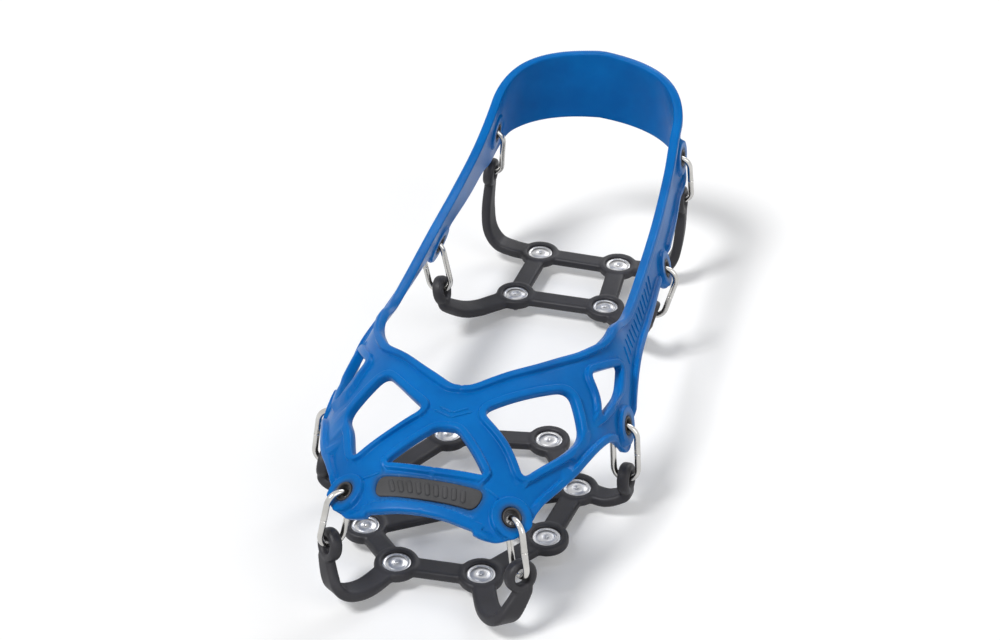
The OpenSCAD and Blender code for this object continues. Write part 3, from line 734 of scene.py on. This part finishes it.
# Where an arm starts in its eye, and how far from a spike's middle the arms and straps end
inside_eye, short_of_pod, trim = 4.2, 6.5, 6.6
skin_voxel, skin_passes = 0.5, 3
shank_r, flange_r, flange_z, flange_t = 3.3, 5.5, 6.9, 1.4
fore_pods, heel_pods = ((16, 40), (34, 62), (38, 92), (20, 122)), ((20, 222), (18, 256))
fore_hub = 79
arm_paths = {
    "toe": ((33.2, 17.5, 6), (29, 18.5, 1.7), (23.5, 24, 0.1), (16, 40, 0)),
    "ball": ((55, 87.6, 1.6), (50, 88.3, 0), (45, 90, 0), (38, 92, 0)),
    "arch": ((38.5, 203, 3.6), (33.5, 209, 0.5), (28, 214.5, 0), (20, 222, 0)),
    "heel": ((43.9, 262, 18), (42.5, 260, 8), (38, 259, 1.6), (31, 258, 0), (18, 256, 0))}


def on_ground(x, a, z=strap_z):
    """Point at the middle of the straps' thickness, or at height z."""
    return place(x, a, z)


def strap(path, wides, widths, thick, rounding):
    """Closed band with rounded edges along a path."""
    path, n = np.asarray(path, float), len(path)
    ahead = unit(np.gradient(path, axis=0))
    verts, faces = [], []
    arcs = np.linspace(0, np.pi / 2, 4)
    for i in range(n):
        wide = np.asarray(wides[i], float)
        wide = unit(wide - (wide @ ahead[i]) * ahead[i])
        up = np.cross(ahead[i], wide)
        x0, y0 = widths[i] / 2 - rounding, thick / 2 - rounding
        for quarter in range(4):
            sx, sy = ((1, 1), (-1, 1), (-1, -1), (1, -1))[quarter]
            for arc in arcs:
                turn = arc + quarter * np.pi / 2
                verts.append(path[i] + (sx * x0 + rounding * math.cos(turn)) * wide
                             + (sy * y0 + rounding * math.sin(turn)) * up)
    m = 4 * len(arcs)
    for i in range(n - 1):
        for k in range(m):
            faces.append((i * m + k, i * m + (k + 1) % m, (i + 1) * m + (k + 1) % m, (i + 1) * m + k))
    faces += [tuple(range(m))[::-1], tuple((n - 1) * m + k for k in range(m))]
    return verts, faces


def ground_strap(start, stop, trim_start, trim_stop):
    """Strap on the sole between two places, cut short at each end."""
    along = unit(stop - start)
    start, stop = start + along * trim_start, stop - along * trim_stop
    path = [start + (stop - start) * u for u in np.linspace(0, 1, 12)]
    wide = np.array([-along[1], along[0], 0])
    return strap(path, [wide] * 12, [strap_w] * 12, strap_t, 1.2)


def smooth_path(path, steps):
    """Catmull-Rom curve through a path's points."""
    path, out = [np.asarray(p, float) for p in path], []
    n = len(path) - 1
    for i in range(n):
        p0, p1, p2, p3 = path[max(i - 1, 0)], path[i], path[i + 1], path[min(i + 2, n)]
        for u in np.arange(steps) / steps:
            out.append(0.5 * (2 * p1 + (p2 - p0) * u + (2 * p0 - 5 * p1 + 4 * p2 - p3) * u * u
                              + (3 * p1 - p0 - 3 * p2 + p3) * u ** 3))
    return out + [path[-1]]


def arm_parts(place_name, side):
    """Eye round the bottom of a link, and the strap from it to its pod."""
    top, hang, pin = link_axes(place_name, side)
    eye = top + link_len * hang
    h = eye_t / 2
    eye_profile = [(eye_hole_r + 0.1, -h + 1.2), (eye_hole_r + 0.1, h - 1.2), (3.5, h - 0.35),
                   (4.0, h), (4.9, h), (5.7, h - 0.3), (6.15, h - 0.9), (eye_r, h - 1.6),
                   (eye_r, 1.6 - h), (6.15, 0.9 - h), (5.7, 0.3 - h), (4.9, -h), (4.0, -h),
                   (3.5, 0.35 - h)]
    points = [eye + hang * inside_eye, eye + hang * (eye_r + 0.3)]
    points += [on_ground(side * x, a, strap_z + up) for x, a, up in arm_paths[place_name]]
    last = unit(points[-1] - points[-2])
    points[-1] = points[-1] - last * short_of_pod
    path = smooth_path(points, 8)
    n = len(path)
    first_wide = np.cross(pin, hang)
    first_wide = -first_wide if first_wide[1] < 0 else first_wide
    last_wide = side * np.array([last[1], -last[0], 0])
    wides = [first_wide * (1 - i / (n - 1)) + last_wide * i / (n - 1) for i in range(n)]
    widths = [neck_w + (arm_w - neck_w) * float(smoothstep(i, 8, 20)) for i in range(n)]
    return [turned_ring(eye, pin, eye_profile), strap(path, wides, widths, arm_t, 1.3)]


def pod_part(x, a):
    """Round pod with a stepped seat for a spike, and a low collar round its foot."""
    low, high = strap_z - pod_h / 2, strap_z + pod_h / 2
    profile = [(shank_r - 0.1, low + 0.1), (shank_r + 0.3, low), (6.2, low), (6.5, low + 0.5),
               (7.6, low + 0.5), (8.2, low + 0.8), (pod_r, low + 1.4), (pod_r, high - 1.0),
               (8.2, high - 0.3), (7.6, high), (6.2, high), (flange_r + 0.15, high - 0.3),
               (flange_r, high - 0.7), (flange_r, flange_z), (shank_r - 0.1, flange_z)]
    return turned_ring(on_ground(x, a, 0), (0, 0, 1), profile)


def moulded_mat(name, parts, material):
    """One smooth skin round overlapping closed parts."""
    verts, faces = merge(parts)
    obj = add_mesh(name, verts * MM, faces, material)
    remesh = obj.modifiers.new("skin", "REMESH")
    remesh.mode, remesh.voxel_size, remesh.adaptivity = "VOXEL", skin_voxel * MM, 0.0
    soften = obj.modifiers.new("soften", "SMOOTH")
    soften.factor, soften.iterations = 0.5, skin_passes
    evaluated = obj.evaluated_get(bpy.context.evaluated_depsgraph_get())
    skin = bpy.data.meshes.new_from_object(evaluated)
    obj.modifiers.clear()
    obj.data = skin
    skin.polygons.foreach_set("use_smooth", [True] * len(skin.polygons))
    return obj


black_material, _ = surface("black_polyurethane", (0.016, 0.0155, 0.019), (0.026, 0.025, 0.03),
                            0.5, 14, 0.5, 0.05, specular=0.4)
fore_ends = {side: [on_ground(side * x, a) for x, a in fore_pods] for _, side in sides}
hub = on_ground(0, fore_hub)
fore_parts = [pod_part(side * x, a) for _, side in sides for x, a in fore_pods]
for _, side in sides:
    ends = fore_ends[side]
    fore_parts += [ground_strap(ends[i], ends[i + 1], trim, trim) for i in range(3)]
    fore_parts += [ground_strap(ends[i], hub, trim, 0) for i in (1, 2)]
    fore_parts += arm_parts("toe", side) + arm_parts("ball", side)
fore_parts += [ground_strap(fore_ends[1][i], fore_ends[-1][i], trim, trim) for i in (0, 3)]
heel_ends = {side: [on_ground(side * x, a) for x, a in heel_pods] for _, side in sides}
heel_parts = [pod_part(side * x, a) for _, side in sides for x, a in heel_pods]
for _, side in sides:
    heel_parts.append(ground_strap(heel_ends[side][0], heel_ends[side][1], trim, trim))
    heel_parts += arm_parts("arch", side) + arm_parts("heel", side)
heel_parts += [ground_strap(heel_ends[1][i], heel_ends[-1][i], trim, trim) for i in (0, 1)]
for name, parts in (("forefoot_mat", fore_parts), ("heel_mat", heel_parts)):
    mat = moulded_mat(f"{name}_skin", parts, black_material)
    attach(mat, name)
    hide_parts(name)


# ---------------------------------------------------------------------------
# Spikes. Turned aluminium bodies held in the pods by a flange, with a hard-metal
# tip pressed into the nose. They show softened edges.
# ---------------------------------------------------------------------------
nose_z, nose_r, shoulder_z, tip_r, tip_len = 1.6, 2.3, 3.4, 1.3, 4.5
flange_top = flange_z + flange_t
body_profile = [(tip_r, nose_z + 0.1), (tip_r + 0.15, nose_z), (nose_r - 0.15, nose_z),
                (nose_r, nose_z + 0.15), (shank_r - 0.05, shoulder_z - 0.1), (shank_r, shoulder_z + 0.1),
                (shank_r, 4.3), (shank_r - 0.12, 4.4), (shank_r - 0.12, 4.6), (shank_r, 4.7),
                (shank_r, flange_z), (flange_r - 0.1, flange_z), (flange_r, flange_z + 0.1),
                (flange_r, flange_top - 0.2), (flange_r - 0.2, flange_top), (4.4, flange_top),
                (4.3, flange_top - 0.15), (4.0, flange_top - 0.15), (3.9, flange_top),
                (0.9, flange_top), (0.5, flange_top - 0.35), (0.05, flange_top - 0.5),
                (0.05, tip_len + 0.1), (tip_r, tip_len + 0.1)]
tip_profile = [(0.02, 0), (tip_r - 0.5, 0), (tip_r - 0.15, 0.25), (tip_r, 0.6), (tip_r, 2.0),
               (tip_r, tip_len), (0.02, tip_len)]
alloy_material, _ = surface("turned_aluminium", (0.5, 0.5, 0.51), (0.6, 0.6, 0.61), 0.34, 3, 0.3,
                            0.02, metallic=1.0)
hard_material, _ = surface("hard_metal", (0.2, 0.2, 0.21), (0.27, 0.27, 0.28), 0.3, 2, 0.25, 0.03,
                           metallic=1.0)
body_verts, body_faces = turned_ring(np.zeros(3), (0, 0, 1), body_profile, 56)
tip_verts, tip_faces = turned_ring(np.zeros(3), (0, 0, 1), tip_profile, 32)
for row, pods in (("fore", fore_pods), ("heel", heel_pods)):
    for number, (x, a) in enumerate(pods, 1):
        for side_name, side in sides:
            name = f"{row}_{number}_{side_name}"
            centre_at = on_ground(side * x, a, 0)
            body = add_mesh(f"spike_shell_{name}", body_verts * MM, body_faces, alloy_material)
            tip = add_mesh(f"spike_point_{name}", tip_verts * MM, tip_faces, hard_material)
            for piece, kind in ((body, "spike_body"), (tip, "spike_tip")):
                piece.location = Vector(centre_at * MM)
                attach(piece, "forefoot_mat" if row == "fore" else "heel_mat")
                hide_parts(f"{kind}_{name}")
